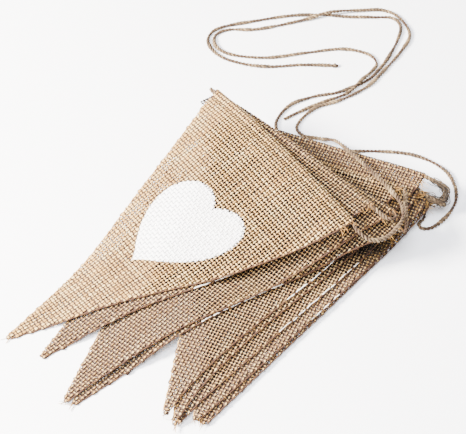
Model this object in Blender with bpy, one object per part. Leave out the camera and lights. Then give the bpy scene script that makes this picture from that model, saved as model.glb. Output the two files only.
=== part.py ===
"""A string of burlap flags on jute twine, gathered into a fanned stack that lies flat.

Ten triangular flags hang on one length of twine. Each flag's top edge is folded back
into a channel that the twine runs through, so in the stack the twine goes to and fro
from one flag to the next. Its two loose ends leave at the right: the front one from the
top flag, the back one from the bottom flag.

Metres, +Z up. The origin is on the surface, under the middle of the flags. The photograph
looks along +Y from above.
"""

import math

import bpy
import numpy as np

MM = 0.001

# --- Cloth and twine -------------------------------------------------------------------
CLOTH = 1.0 * MM  # thickness of the burlap
GAP = 0.35 * MM  # what separate pieces keep between them
OFF_SURFACE = 0.05 * MM  # what the upper flags keep from the surface
TWINE = 1.8 * MM  # diameter of the jute twine
FLAP = 16 * MM  # how far the folded top edge reaches down the back
SQUARE_CUT = 10 * MM  # the channel's right end is cut square for this far
TIP = 2.5 * MM  # width of a flag's blunt point
CHANNEL_HIGH = 1.7 * MM  # half height of the fold's middle line, round the twine
CHANNEL_DEEP = 1.9 * MM  # half depth of the same, along the flag

# --- The flags, top one first ----------------------------------------------------------
# point_x, point_y: where the flag's point lies, in mm; turn: direction from the point to
# the middle of the top edge, in degrees from +X; width and height in mm; left_near,
# left_far, right_near and right_far: how far each hand-cut side stands out from straight a
# third and two thirds of the way up, in mm; fall: how far the cloth drops past a support, in
# metres for each square metre of distance from it. The top flag, which nothing holds down,
# falls most.
COLUMNS = (
    "name", "point_x", "point_y", "turn", "width", "height",
    "left_near", "left_far", "right_near", "right_far", "fall",
)
FLAGS = [
    ("flag_01_heart", -137.2, -101.2, 36.0, 145, 210, -2.7, -2.7, -3, 0.8, 18),
    ("flag_02", -115.0, -115.5, 43.4, 140, 213, 0, 0, -5.4, -1.5, 6),
    ("flag_03", -98.5, -149.0, 50.2, 141, 227, 3.5, 3.5, -6.8, -2.4, 6),
    ("flag_04", -93.0, -149.5, 48.8, 140, 221, 0, 0, -9.2, -11, 6),
    ("flag_05", -39.5, -160.5, 66.2, 133, 211, -2.7, -2.7, -5, -1, 6),
    ("flag_06", -33.0, -163.0, 66.3, 144, 232, 0, 0, -7, -2, 6),
    ("flag_07", -34.0, -166.0, 66.0, 142, 224, 0, 0, 0.3, 1.5, 6),
    ("flag_08", -21.9, -163.0, 66.2, 136, 217, 0, 0, 1.8, 1.8, 6),
    ("flag_09", -17.4, -165.0, 66.6, 134, 220, 0, 0, 0, 0, 6),
    ("flag_10", -19.8, -161.7, 68.5, 136, 209, 0, 0, 1.8, 1.8, 6),
]
CENTRE = (0.3, -39.3)  # middle of the flags' own box in mm, taken off every place here

# --- How finely a flag is divided ------------------------------------------------------
COLUMNS_ACROSS = 7
ROWS_BODY = 12
FOLD_STEPS = 5

# --- Where the drape is worked out -----------------------------------------------------
FIELD = 2.5 * MM  # spacing of the height field
FIELD_LOW = (-0.15, -0.14)
FIELD_HIGH = (0.15, 0.14)

# --- Twine between two flags -----------------------------------------------------------
SLACK_UNDER = "flag_06"  # the turn between this flag and the one under it is slack
SLACK_OUT = 12.5 * MM  # how far it runs out past both channels before it turns
SLACK_SAG = 7 * MM  # and how far its outer end sags
LINK_OUT = 2.2 * MM  # the run of the other turns, at the right
LEFT_OUT = 1.8 * MM  # and at the left, where they are pulled up short
LINK_RADIUS = 3.6 * MM  # its turns at the right
LEFT_RADIUS = 2.6 * MM  # and at the left
LINK_STEPS = 2  # points between two of a link's own points

# --- The twine's two loose ends --------------------------------------------------------
# Where each runs, in mm, from the channel that it leaves. The back end lies on the surface
# all the way. The front end lies over the stack, drops off its far edge and crosses the
# back end twice and itself not at all.
ROUTE_COLUMNS = ("x", "y", "z")
BACK_END = [
    (119.7, 6.0, 2.2),
    (124.5, 3.5, 1.7),
    (124.5, -2, 1.1),
    (120.8, -6.5, 0.9),
    (122.5, -11, 0.9),
    (130, -9.5, 0.9),
    (141, 2, 0.9),
    (147.5, 17, 0.9),
    (146, 35, 0.9),
    (137, 48, 0.9),
    (120, 57.5, 0.9),
    (96, 60.5, 0.9),
    (72, 60, 0.9),
    (50, 64, 0.9),
    (34, 74, 0.9),
    (30, 89, 0.9),
    (40, 106.5, 0.9),
    (57, 115.5, 0.9),
    (73, 119.5, 0.9),
    (86, 126, 0.9),
    (98, 134.5, 0.9),
    (106.5, 146.5, 0.9),
    (113, 158, 0.9),
    (121, 177, 0.9),
    (124.5, 193, 0.9),
    (119, 202.5, 0.9),
    (104, 203.5, 0.9),
    (85, 204, 0.9),
    (66, 206.5, 0.9),
    (42, 205, 0.9),
    (16, 199, 0.9),
    (-9, 191.5, 0.9),
    (-17.5, 182, 0.9),
    (-17, 170, 0.9),
    (-8, 158, 0.9),
    (8, 150.5, 0.9),
    (27, 147.5, 0.9),
    (50, 149.5, 0.9),
    (76, 148.5, 0.9),
]
FRONT_END = [
    (74.2, -38.1, 34.9),
    (77.5, -43.5, 33),
    (85, -46, 28.5),
    (95, -41.5, 26),
    (105, -31, 29),
    (107, -16, 27),
    (101.5, -2.5, 26.5),
    (92, 12, 26.8),
    (75.5, 41, 21.8),
    (68.5, 54, 17),
    (61, 71, 2.5),
    (48.5, 75.5, 0.9),
    (44.5, 86, 0.9),
    (57, 103, 0.9),
    (76, 112, 0.9),
    (95.5, 126, 0.9),
    (109.5, 144.5, 0.9),
    (122, 163.5, 0.9),
    (130.5, 183, 0.9),
    (125, 202, 0.9),
    (113, 211.5, 0.9),
    (95, 210.5, 1.9),
    (72, 206.2, 3.4),
    (52, 199.5, 1.5),
    (18, 189.5, 0.9),
    (-3, 189, 0.9),
    (-13, 182, 0.9),
    (-12, 169.5, 0.9),
    (0, 160.5, 0.9),
    (26, 157.5, 0.9),
    (54, 163, 0.9),
    (80, 167, 0.9),
    (98, 161.5, 0.9),
    (104, 151, 0.9),
    (98.5, 140.5, 1.2),
    (91, 129.8, 3.2),
    (81, 119, 1.2),
    (62, 109, 0.9),
    (46, 99.5, 0.9),
    (35.5, 92, 0.9),
]
MOST_POINTS = 78  # points in one loose end's tube
LONGEST_STEP = 40 * MM  # how far apart they are where it runs straight
MOST_BEND = math.radians(17)  # how far it turns from one to the next


class Flag:
    """One flag's own frame: u runs across it to the right, v from its point to its fold."""

    def __init__(self, row):
        named = dict(zip(COLUMNS, row))
        self.name = named["name"]
        self.point = np.array([named["point_x"] - CENTRE[0], named["point_y"] - CENTRE[1]]) * MM
        self.width = named["width"] * MM
        self.height = named["height"] * MM
        self.left_side = named["left_near"] * MM, named["left_far"] * MM
        self.right_side = named["right_near"] * MM, named["right_far"] * MM
        self.fall = named["fall"]
        turn = math.radians(named["turn"])
        self.up = np.array([math.cos(turn), math.sin(turn)])
        self.right = np.array([math.sin(turn), -math.cos(turn)])

    def to_world(self, u, v):
        place = self.point + np.multiply.outer(v, self.up) + np.multiply.outer(u, self.right)
        return place[..., 0], place[..., 1]

    def to_flag(self, x, y):
        dx, dy = x - self.point[0], y - self.point[1]
        return dx * self.right[0] + dy * self.right[1], dx * self.up[0] + dy * self.up[1]

    def front_sides(self, v):
        """Left and right edge of the front at v: slanted, with the right end cut square."""
        sides = []
        ends = self.height, self.height - SQUARE_CUT
        for (near, far), end in zip((self.left_side, self.right_side), ends):
            share = np.clip(v / end, 0, 1)
            straight = TIP / 2 + (self.width - TIP) / 2 * share
            bow = near * (2 / 3 - share) + far * (share - 1 / 3)
            sides.append(straight + bow * 13.5 * share * (1 - share))
        return -sides[0], sides[1]

    def flap_sides(self, v):
        return -self.width / 2 + 0 * v, self.width / 2 + 0 * v

    def flap_depth(self, v):
        """How far the flap's middle line lies under the front's, at v."""
        near, far = CLOTH + GAP, 2 * CHANNEL_HIGH
        share = np.clip((v - (self.height - FLAP)) / (FLAP - CHANNEL_DEEP), 0, 1)
        return near + (far - near) * share


class Ground:
    """The height of all that has been laid so far, as a grid of heights over the surface."""

    def __init__(self):
        self.x, self.y = np.meshgrid(
            np.arange(FIELD_LOW[0], FIELD_HIGH[0], FIELD),
            np.arange(FIELD_LOW[1], FIELD_HIGH[1], FIELD),
            indexing="ij",
        )
        self.z = np.zeros_like(self.x)

    def raise_to(self, where, height):
        self.z[where] = np.maximum(self.z[where], height)

    def raise_for_tube(self, path, radius):
        for x, y, z in path:
            near = (self.x - x) ** 2 + (self.y - y) ** 2 < (radius + FIELD) ** 2
            self.raise_to(near, z + radius)


class Grid:
    """Heights at the crossings of a flag's rows and columns, and between them."""

    def __init__(self, flag, rows, sides):
        self.flag, self.rows = flag, np.asarray(rows)
        self.left, self.right = sides(self.rows)
        share = np.linspace(0, 1, COLUMNS_ACROSS + 1)
        self.u = self.left[:, None] + (self.right - self.left)[:, None] * share
        self.v = np.repeat(self.rows[:, None], COLUMNS_ACROSS + 1, axis=1)
        self.z = None

    def cells(self, u, v):
        """For points in the flag's frame: the four crossings round each and their shares."""
        row = np.clip(np.searchsorted(self.rows, v, side="right") - 1, 0, len(self.rows) - 2)
        along = (v - self.rows[row]) / (self.rows[row + 1] - self.rows[row])
        left = self.left[row] * (1 - along) + self.left[row + 1] * along
        right = self.right[row] * (1 - along) + self.right[row + 1] * along
        across = np.clip((u - left) / (right - left), 0, 1) * COLUMNS_ACROSS
        column = np.minimum(across.astype(int), COLUMNS_ACROSS - 1)
        across = across - column
        corners = []
        for down, row_share in ((0, 1 - along), (1, along)):
            for over, column_share in ((0, 1 - across), (1, across)):
                corners.append((row + down, column + over, row_share * column_share))
        return corners

    def at(self, u, v):
        return sum(self.z[row, column] * share for row, column, share in self.cells(u, v))

    def lift_over(self, u, v, need):
        """Raises the crossings until the flat cells between them clear every need."""
        for _ in range(4):
            short = np.maximum(need - self.at(u, v), 0)
            lift = np.zeros_like(self.z)
            for row, column, share in self.cells(u, v):
                np.maximum.at(lift, (row, column), np.where(share > 0.05, short, 0))
            self.z += lift


def laid_height(x, y, px, py, need, fall):
    """The lowest height of soft cloth at (x, y) that is held up by need at (px, py).

    From each support the cloth falls away with the square of the distance past one cell.
    """
    flat_x, flat_y = np.ravel(x), np.ravel(y)
    height = np.empty(flat_x.size)
    for start in range(0, flat_x.size, 400):
        part = slice(start, start + 400)
        distance = (flat_x[part, None] - px) ** 2 + (flat_y[part, None] - py) ** 2
        height[part] = (need - fall * np.maximum(distance - FIELD**2, 0)).max(axis=1)
    return height.reshape(np.shape(x))


def lay_flag(flag, ground):
    """Lays a flag on the ground. Returns the grids of its front and of its flap."""
    off_surface = OFF_SURFACE if ground.z.any() else 0
    u, v = flag.to_flag(ground.x, ground.y)
    left, right = flag.front_sides(v)
    in_front = (v >= 0) & (v <= flag.height) & (u >= left) & (u <= right)
    in_flap = (v >= flag.height - FLAP) & (v <= flag.height) & (abs(u) <= flag.width / 2)
    under = in_front | in_flap
    below = CLOTH / 2 + np.where(in_flap, flag.flap_depth(v), 0)
    clear = np.where(ground.z > 0, GAP, off_surface)
    need = (ground.z + clear + below)[under]
    fold = flag.height - CHANNEL_DEEP
    body = np.linspace(0, flag.height - FLAP, ROWS_BODY)
    front = Grid(flag, [*body, flag.height - SQUARE_CUT, fold, flag.height], flag.front_sides)
    flap = Grid(flag, [flag.height - FLAP, flag.height - SQUARE_CUT, fold, flag.height], flag.flap_sides)
    for grid, inside in ((front, in_front), (flap, in_flap)):
        x, y = flag.to_world(grid.u, grid.v)
        grid.z = laid_height(x, y, ground.x[under], ground.y[under], need, flag.fall)
        grid.lift_over(u[inside], v[inside], (ground.z + clear + below)[inside])
    ground.raise_to(in_flap, flap.at(u[in_flap], v[in_flap]) - flag.flap_depth(v[in_flap]) + CLOTH / 2)
    ground.raise_to(in_front, front.at(u[in_front], v[in_front]) + CLOTH / 2)
    return front, flap


def flag_sheet(flag, front, flap):
    """The middle surface of a flag as rows of points: the front, the fold and the flap."""
    rows = []
    fold = flag.height - CHANNEL_DEEP
    body_rows = len(front.rows) - 1
    for k in range(body_rows):
        x, y = flag.to_world(front.u[k], front.v[k])
        rows.append(np.stack([x, y, front.z[k]], axis=-1))
    for step in range(1, FOLD_STEPS + 1):
        angle = math.pi * step / FOLD_STEPS
        v = fold + CHANNEL_DEEP * math.sin(angle)
        drop = CHANNEL_HIGH * (1 - math.cos(angle))
        x, y = flag.to_world(flap.u[-2], np.full(COLUMNS_ACROSS + 1, v))
        rows.append(np.stack([x, y, flap.z[-2] - drop], axis=-1))
    for k in (1, 0):
        x, y = flag.to_world(flap.u[k], flap.v[k])
        rows.append(np.stack([x, y, flap.z[k] - flag.flap_depth(flap.rows[k])], axis=-1))
    return rows


def add_flag(flag, rows, material):
    """A sheet of the given rows of points, thickened evenly to both sides."""
    points = np.concatenate(rows)
    wide = COLUMNS_ACROSS + 1
    faces = []
    for row in range(len(rows) - 1):
        for column in range(COLUMNS_ACROSS):
            first = row * wide + column
            faces.append((first, first + 1, first + wide + 1, first + wide))
    mesh = bpy.data.meshes.new(flag.name)
    mesh.from_pydata(points.tolist(), [], faces)
    mesh.shade_smooth()
    mesh.materials.append(material)
    piece = bpy.data.objects.new(flag.name, mesh)
    bpy.context.scene.collection.objects.link(piece)
    thick = piece.modifiers.new("cloth", "SOLIDIFY")
    thick.thickness = CLOTH
    thick.offset = 0
    thick.use_even_offset = True
    return piece


def smooth_route(points, steps):
    """A smooth curve through the points, with that many steps from each to the next."""
    points = np.asarray(points, float)
    padded = np.vstack([2 * points[0] - points[1], points, 2 * points[-1] - points[-2]])
    out = []
    for k in range(1, len(padded) - 2):
        before, start, end, after = padded[k - 1 : k + 3]
        for t in np.arange(steps) / steps:
            out.append(
                0.5
                * (
                    2 * start
                    + (end - before) * t
                    + (2 * before - 5 * start + 4 * end - after) * t**2
                    + (3 * start - before - 3 * end + after) * t**3
                )
            )
    out.append(points[-1])
    return np.array(out)


def channel_twine(flag, front):
    """The twine inside a flag's channel, from its left end to its right end."""
    v = np.full(COLUMNS_ACROSS + 1, flag.height - CHANNEL_DEEP)
    half = flag.width / 2
    x, y = flag.to_world(np.linspace(-half, half, COLUMNS_ACROSS + 1), v)
    return np.stack([x, y, front - CHANNEL_HIGH], axis=-1)


def link_twine(low_end, low_out, high_end, high_out, run, radius, sag):
    """The loop of twine from the end of a lower channel to that of the one above it.

    The end that is further in runs straight out past the other. Then both meet in a round
    turn, which swells to a bulb where they are closer than it is wide, and which holds a
    straight run where they are further. A slack one sags towards its outer end.
    """
    across = high_end - low_end
    out = low_out + high_out
    out = out / np.linalg.norm(out)
    if np.linalg.norm(across - out * (across @ out)) > 4 * radius:
        square = np.array([-across[1], across[0], 0.0]) / np.linalg.norm(across[:2])
        out = square if square @ out > 0 else -square
    furthest = max(low_end @ out, high_end @ out)
    reach = furthest + run
    low_join = low_end + out * (reach - low_end @ out)
    high_join = high_end + out * (reach - high_end @ out)
    high_join[2] = min(high_end[2], low_end[2] + CHANNEL_HIGH + CLOTH / 2 + GAP + TWINE / 2)
    side = high_join - low_join
    spread = np.linalg.norm(side)
    side = side / spread
    stretch = max(spread / 2 - radius, 0)
    widest = 180 - math.degrees(math.asin(min(spread / 2 / radius, 1)))
    centre = (low_join + high_join) / 2 - out * radius * math.cos(math.radians(widest))
    turns = [-widest, -widest / 2, 0, widest / 2, widest]
    if stretch > radius:
        turns.remove(0)
    places = []
    for angle in turns:
        turn = math.radians(angle)
        shift = side * math.copysign(stretch, angle) if angle else 0
        place = centre + radius * (out * math.cos(turn) + side * math.sin(turn)) + shift
        place[2] -= sag * np.clip((place @ out - furthest) / (run + radius), 0, 1) ** 2
        places.append(place)
    first = low_end + low_out * 0.5 * LINK_OUT
    last = high_end + high_out * 0.5 * LINK_OUT
    return smooth_route([first, *places, last], LINK_STEPS)


def even_points(path, most):
    """At most that many points along a path, closer together where it bends."""
    steps = np.diff(path, axis=0)
    length = np.linalg.norm(steps, axis=1)
    heading = steps / length[:, None]
    bend = np.arccos(np.clip((heading[1:] * heading[:-1]).sum(axis=1), -1, 1))
    weight = length / LONGEST_STEP
    weight[1:] += bend / MOST_BEND
    reached = np.concatenate([[0], np.cumsum(weight)])
    count = min(most, int(reached[-1]) + 2)
    wanted = np.linspace(0, reached[-1], count)
    return np.stack([np.interp(wanted, reached, path[:, axis]) for axis in range(3)], axis=-1)


def tail_twine(route):
    """A free end of the twine, from its route in mm."""
    places = np.array(route, float) * MM
    places[:, 0] -= CENTRE[0] * MM
    places[:, 1] -= CENTRE[1] * MM
    path = smooth_route(places, 24)
    path[:, 2] = np.maximum(path[:, 2], TWINE / 2)
    return even_points(path, MOST_POINTS)


def add_tube(name, path, material):
    """Twine as a round tube along a path, with closed ends."""
    curve = bpy.data.curves.new(name, "CURVE")
    curve.dimensions = "3D"
    curve.bevel_depth = TWINE / 2
    curve.bevel_resolution = 2
    curve.use_fill_caps = True
    spline = curve.splines.new("POLY")
    spline.points.add(len(path) - 1)
    for point, place in zip(spline.points, path):
        point.co = (*place, 1.0)
    curve.materials.append(material)
    piece = bpy.data.objects.new(name, curve)
    bpy.context.scene.collection.objects.link(piece)
    return piece


def make_material(name, colour, roughness):
    material = bpy.data.materials.new(name)
    material.use_nodes = True
    shader = material.node_tree.nodes["Principled BSDF"]
    shader.inputs["Base Color"].default_value = (*colour, 1.0)
    shader.inputs["Roughness"].default_value = roughness
    shader.inputs["Metallic"].default_value = 0.0
    return material


def main():
    for old in list(bpy.data.objects):
        bpy.data.objects.remove(old, do_unlink=True)
    burlap = make_material("burlap", (0.50, 0.35, 0.20), 0.95)
    jute = make_material("jute twine", (0.36, 0.27, 0.17), 0.95)
    ground = Ground()
    held = []
    lower = None
    back_end, front_end = tail_twine(BACK_END), tail_twine(FRONT_END)
    for count, row in enumerate(reversed(FLAGS)):
        flag = Flag(row)
        front, flap = lay_flag(flag, ground)
        add_flag(flag, flag_sheet(flag, front, flap), burlap)
        inside = channel_twine(flag, flap.z[-2])
        right = np.array([*flag.right, 0.0])
        leftwards = count % 2 == 0
        run = inside[::-1] if leftwards else inside
        out = -right if leftwards else right
        if lower is None:
            ground.raise_for_tube(back_end, TWINE / 2)
        else:
            if flag.name == SLACK_UNDER:
                shape = (SLACK_OUT, LINK_RADIUS, SLACK_SAG)
            elif leftwards:
                shape = (LINK_OUT, LINK_RADIUS, 0.0)
            else:
                shape = (LEFT_OUT, LEFT_RADIUS, 0.0)
            link = link_twine(*lower, run[0], -out, *shape)
            ground.raise_for_tube(link, TWINE / 2)
            held.extend(link)
        held.extend(run)
        lower = (run[-1], out)
    add_tube("twine_in_channels", held, jute)
    add_tube("twine_back_end", back_end, jute)
    add_tube("twine_front_end", front_end, jute)


if __name__ == "__main__":
    main()
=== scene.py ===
"""How a string of burlap flags on jute twine looks, gathered into a fanned stack.

Ten triangular flags are woven here thread by thread over their CAD solids. Each top edge is
folded back into a channel for one length of two-ply jute twine, whose two loose ends lie in a
loop behind the stack. The top flag has a plain heart stencilled in white paint.

Metres, +Z up, in the CAD's frame. The photograph looks along +Y from above.
"""

import math

import bpy
import numpy as np
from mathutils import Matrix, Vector
from mathutils.bvhtree import BVHTree


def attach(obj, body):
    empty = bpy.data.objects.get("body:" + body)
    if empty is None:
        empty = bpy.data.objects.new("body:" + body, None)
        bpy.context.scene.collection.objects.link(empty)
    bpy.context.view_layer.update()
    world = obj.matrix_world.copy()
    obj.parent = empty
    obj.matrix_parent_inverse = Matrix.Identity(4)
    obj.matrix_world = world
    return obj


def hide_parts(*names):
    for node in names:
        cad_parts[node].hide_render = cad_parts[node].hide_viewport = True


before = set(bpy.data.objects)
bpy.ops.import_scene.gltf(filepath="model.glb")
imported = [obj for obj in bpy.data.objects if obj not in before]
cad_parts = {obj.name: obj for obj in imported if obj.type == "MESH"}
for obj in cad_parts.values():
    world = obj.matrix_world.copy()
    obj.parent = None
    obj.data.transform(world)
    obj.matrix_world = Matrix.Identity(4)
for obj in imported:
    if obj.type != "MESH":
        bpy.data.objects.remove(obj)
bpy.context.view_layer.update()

MM = 0.001

# --- Cloth and twine, as in the CAD ---
CLOTH = 1.0 * MM  # thickness of the burlap's solid
GAP = 0.35 * MM  # what separate pieces keep between them
TWINE = 1.8 * MM  # diameter of the jute twine
FLAP = 16 * MM  # how far the folded top edge reaches down the back
SQUARE_CUT = 10 * MM  # the channel's right end is cut square for this far
TIP = 2.5 * MM  # width of a flag's blunt point
CHANNEL_HIGH = 1.7 * MM  # half height of the fold's middle line, round the twine
CHANNEL_DEEP = 1.9 * MM  # half depth of the same, along the flag
CENTRE = (0.3, -39.3)  # middle of the flags' own box in mm, taken off every place here

# --- The flags, top one first ---
# point_x, point_y: where the flag's point lies, in mm; turn: direction from the point to
# the middle of the top edge, in degrees from +X; width and height in mm; left_near,
# left_far, right_near and right_far: how far each hand-cut side stands out from straight a
# third and two thirds of the way up, in mm.
COLUMNS = (
    "name", "point_x", "point_y", "turn", "width", "height",
    "left_near", "left_far", "right_near", "right_far",
)
FLAGS = [
    ("flag_01_heart", -137.2, -101.2, 36, 145, 210, -2.7, -2.7, -3, 0.8),
    ("flag_02", -115, -115.5, 43.4, 140, 213, 0, 0, -5.4, -1.5),
    ("flag_03", -98.5, -149, 50.2, 141, 227, 3.5, 3.5, -6.8, -2.4),
    ("flag_04", -93, -149.5, 48.8, 140, 221, 0, 0, -9.2, -11),
    ("flag_05", -39.5, -160.5, 66.2, 133, 211, -2.7, -2.7, -5, -1),
    ("flag_06", -33, -163, 66.3, 144, 232, 0, 0, -7, -2),
    ("flag_07", -34, -166, 66, 142, 224, 0, 0, 0.3, 1.5),
    ("flag_08", -21.9, -163, 66.2, 136, 217, 0, 0, 1.8, 1.8),
    ("flag_09", -17.4, -165, 66.6, 134, 220, 0, 0, 0, 0),
    ("flag_10", -19.8, -161.7, 68.5, 136, 209, 0, 0, 1.8, 1.8),
]
# Where a right side has a painted highlight, a broken white line: from and to, in mm from the point.
PAINTED_HIGHLIGHTS = {
    "flag_02": (97, 120),
    "flag_04": (90, 147),
    "flag_05": (106, 152),
    "flag_07": (86, 158),
    "flag_08": (96, 124),
}

# --- Weave ---
UP_PITCH = 2.1 * MM  # between the threads that run up a flag: 12 to the inch
ACROSS_PITCH = 2.45 * MM  # between those across it: 10 to the inch
UP_HALF_WIDE = 0.50 * MM  # of the threads that run up a flag
ACROSS_HALF_WIDE = 0.45 * MM
THREAD_HALF_THICK = 0.28 * MM
THREAD_GIRTH = 3.3 * MM  # round a thread, for its map
THREAD_RISE = 0.33 * MM  # how far a thread's middle rises over the one that it crosses
UNSHADED_HEIGHT = 0.6 * MM  # what stands this far off the cloth's middle gets no painted shade
THREAD_STRAY = 0.09 * MM  # how unevenly the threads are spaced
THREAD_WANDER = 0.10 * MM  # how far each wanders off its line
THREAD_UNEVEN = 0.10  # share by which width varies, from thread to thread and along each
TRIMMED = 0.88  # share of the threads' ends that are cut flush with the flag's side
EDGE_PRESSED = 2.6 * MM  # how far in from a cut side the threads lie pressed wide
EDGE_WIDER = 0.35  # and by how much
SIGHT = (0, 0.93, -1)  # the photograph's line of sight
HIDES_TABLE = 3  # as many flags behind the weave, along that line, hide the bright table
TABLE_WIDER = 0.95  # how much wider the threads are where fewer flags lie behind them
TABLE_DARKER = 0.7  # and how much more painted shade their sides get there, to look like dark holes
TOP_FLAGS = 2  # these have the first tone, and those below them the second
TOP_TONE, LOWER_TONE = 0.36, 0.37  # from 0 dark to 1 light, before the fibres' streaks
TONE_SPREAD = 0.055  # how much the tone varies from thread to thread
TONE_DRIFT = 0.07  # and along each
FIBRE_PLACES = np.array([0, 0.35, 0.7, 1.0])  # where a loose fibre has its points
FIBRE_THIN = np.array([1, 0.95, 0.8, 0.4])  # and how thick it is there
CREASE = 1.0 * MM  # how deep the front dips between the channel's roll and the rest
CREASE_PLACE = 4.6 * MM  # below the twine
CREASE_WIDE = 1.9 * MM
FOLD_ARC = math.pi * math.sqrt((CHANNEL_HIGH**2 + CHANNEL_DEEP**2) / 2)  # cloth round the twine
SHARES = 28  # across a flag, where its heights are read
ROWS_READ = 55  # along its front
FLAP_ROWS_READ = 6  # and along its flap
INSETS = (0.985, 0.9, 0.6, 0.0)  # nearer and nearer the middle, till the solid is met
LEAST_ROW = 0.6 * MM  # from the point, for the same reason

# --- The flags' cut edges ---
FRAYED = 150  # short fibres along both sides of a flag
POINT_THREADS = 4  # longer threads at its point
END_THREADS = 12  # and at the right end of its channel
RIGHT_EDGE, RIGHT_EDGE_SHADE = 0.42 * MM, -0.22  # the right side's line of fibres, painted dark as the shade under the side's edge
CUT_EDGE, CUT_DARKER = 0.34 * MM, 0.12  # the left side's, a little darker than its cloth

# --- Twine ---
TWIST = 5.2 * MM  # length of one full turn of the two plies
TWIST_STEPS = 7  # points along one turn
PLY_HALF = 0.70 * MM  # so that the twine's outline swings about its mean diameter
PLY_OUT = 0.70 * MM  # from the twine's middle to that of each ply
TWINE_SWELL = 0.26  # share by which the whole twine is thicker and thinner along its run
PLY_UNEVEN = 0.16  # and each ply by itself
TWINE_TONE, TWINE_DRIFT = 0.30, 0.16  # its tone, and how far that drifts along it
HAIR_HALF = np.array([0.075, 0.07, 0.055, 0.03]) * MM  # a hair's half thickness, to its tip
SLACK_UNDER = "flag_06"  # the turn between this flag and the one under it is slack
SLACK_OUT = 12.5 * MM  # how far it runs out past both channels before it turns
SLACK_SAG = 7 * MM  # and how far its outer end sags
RAVELLED = 150  # loose fibres along the slack turn
RAVEL_WIDE = np.array([1.0, 1.0, 0.8]) * MM  # how far they stray from it, along X, Y and Z
LINK_OUT = 2.2 * MM  # the run of the other turns, at the right
LEFT_OUT = 1.8 * MM  # and at the left, where they are pulled up short
LINK_RADIUS = 3.6 * MM  # its turns at the right
LEFT_RADIUS = 2.6 * MM  # and at the left
HELD_HAIRS, END_HAIRS = 0.5, 1.1  # loose fibres to each mm, in the channels and outside them
KNOT_TURNS = 1.55
KNOT_SIDE, KNOT_UP, KNOT_LONG = 1.35 * MM, 1.25 * MM, 1.3 * MM  # its reach from its middle
KNOT_HALF = 0.72 * MM  # half thickness of its twine

# --- The twine's two loose ends ---
# Where each runs, in mm, from the channel that it leaves, as in the CAD. Without a third
# number it lies on the surface.
BACK_END = [
    (119.7, 6.0, 2.2), (124.5, 3.5, 1.7), (124.5, -2, 1.1), (120.8, -6.5),
    (122.5, -11), (130, -9.5), (141, 2), (147.5, 17),
    (146, 35), (137, 48), (120, 57.5), (96, 60.5),
    (72, 60), (50, 64), (34, 74), (30, 89),
    (40, 106.5), (57, 115.5), (73, 119.5), (86, 126),
    (98, 134.5), (106.5, 146.5), (113, 158), (121, 177),
    (124.5, 193), (119, 202.5), (104, 203.5), (85, 204),
    (66, 206.5), (42, 205), (16, 199), (-9, 191.5),
    (-17.5, 182), (-17, 170), (-8, 158), (8, 150.5),
    (27, 147.5), (50, 149.5), (76, 148.5),
]
FRONT_END = [
    (74.2, -38.1, 34.9), (77.5, -43.5, 33), (85, -46, 28.5), (95, -41.5, 26),
    (105, -31, 29), (107, -16, 27), (101.5, -2.5, 26.5), (92, 12, 26.8),
    (75.5, 41, 21.8), (68.5, 54, 17), (61, 71, 2.5), (48.5, 75.5),
    (44.5, 86), (57, 103), (76, 112), (95.5, 126),
    (109.5, 144.5), (122, 163.5), (130.5, 183), (125, 202),
    (113, 211.5), (95, 210.5, 1.9), (72, 206.2, 3.4), (52, 199.5, 1.5),
    (18, 189.5), (-3, 189), (-13, 182), (-12, 169.5),
    (0, 160.5), (26, 157.5), (54, 163), (80, 167),
    (98, 161.5), (104, 151), (98.5, 140.5, 1.2), (91, 129.8, 3.2),
    (81, 119, 1.2), (62, 109), (46, 99.5), (35.5, 92),
]

# --- The painted heart ---
# In the top flag's own mm: a round spot whose points are pushed up by LOBES times their
# distance from the middle line to the power LOBE_POWER.
HEART_MIDDLE = (1.9, 120.7)
HEART_HALF_WIDE = 31.4
HEART_HALF_HIGH = 29.2
HEART_LEAN = 0.095  # how far its level direction leans towards its upright one
HEART_TURN = 0.041  # and its upright one towards its level one
LOBES = 0.667
LOBE_POWER = 0.66
SPOKES, HOOPS = 96, 22  # how finely its skin of paint is divided
SKIN_REACH = 0.975  # share of the heart that the skin fills, so that threads make its edge
SKIN_HEIGHT = 0.06 * MM  # of the skin's top over the cloth's middle
SKIN_THICK = 0.2 * MM

# --- Camera and light ---
CAMERA_PLACE = (-0.0003, -0.6086, 0.6948)
CAMERA_TILT = 43  # degrees off straight down
CAMERA_LENS, CAMERA_SENSOR = 112.4, 36  # in mm
SOFTBOX_AIM = (0, 0.02, 0.02)
# Each one's name, place, width, power in watts and colour.
SOFTBOXES = [
    ("softbox_left", (-1.15, -0.12, 0.78), 0.4, 215, "#fffaf2"),
    ("softbox_over", (-0.15, -0.4, 1.45), 0.9, 62, "#f4f6ff"),
]


def set_camera():
    """The photograph's view, from 0.95 m away."""
    bpy.ops.object.camera_add(location=CAMERA_PLACE, rotation=(math.radians(CAMERA_TILT), 0, 0))
    camera = bpy.context.object
    camera.name = "camera"
    camera.data.sensor_width = CAMERA_SENSOR
    camera.data.lens = CAMERA_LENS
    camera.data.clip_end = 20
    bpy.context.scene.camera = camera


# === Materials ===


def linear(code):
    """The shader's colour for an sRGB hex code."""
    parts = [int(code[k : k + 2], 16) / 255 for k in (1, 3, 5)]
    return (*[c / 12.92 if c <= 0.04045 else ((c + 0.055) / 1.055) ** 2.4 for c in parts], 1.0)


def add_node(tree, kind, settings, links=()):
    """A node with its settings, by socket name, number or property, and (socket, source) links."""
    node = tree.nodes.new(kind)
    for key, value in settings.items():
        if isinstance(key, int) or key in node.inputs:
            node.inputs[key].default_value = value
        else:
            setattr(node, key, value)
    for socket, source in links:
        tree.links.new(source, node.inputs[socket])
    return node


def new_material(name, settings):
    """A material and its nodes, with the shader's settings by socket name."""
    made = bpy.data.materials.new(name)
    made.use_nodes = True
    for socket, value in settings.items():
        made.node_tree.nodes["Principled BSDF"].inputs[socket].default_value = value
    return made, made.node_tree


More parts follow.
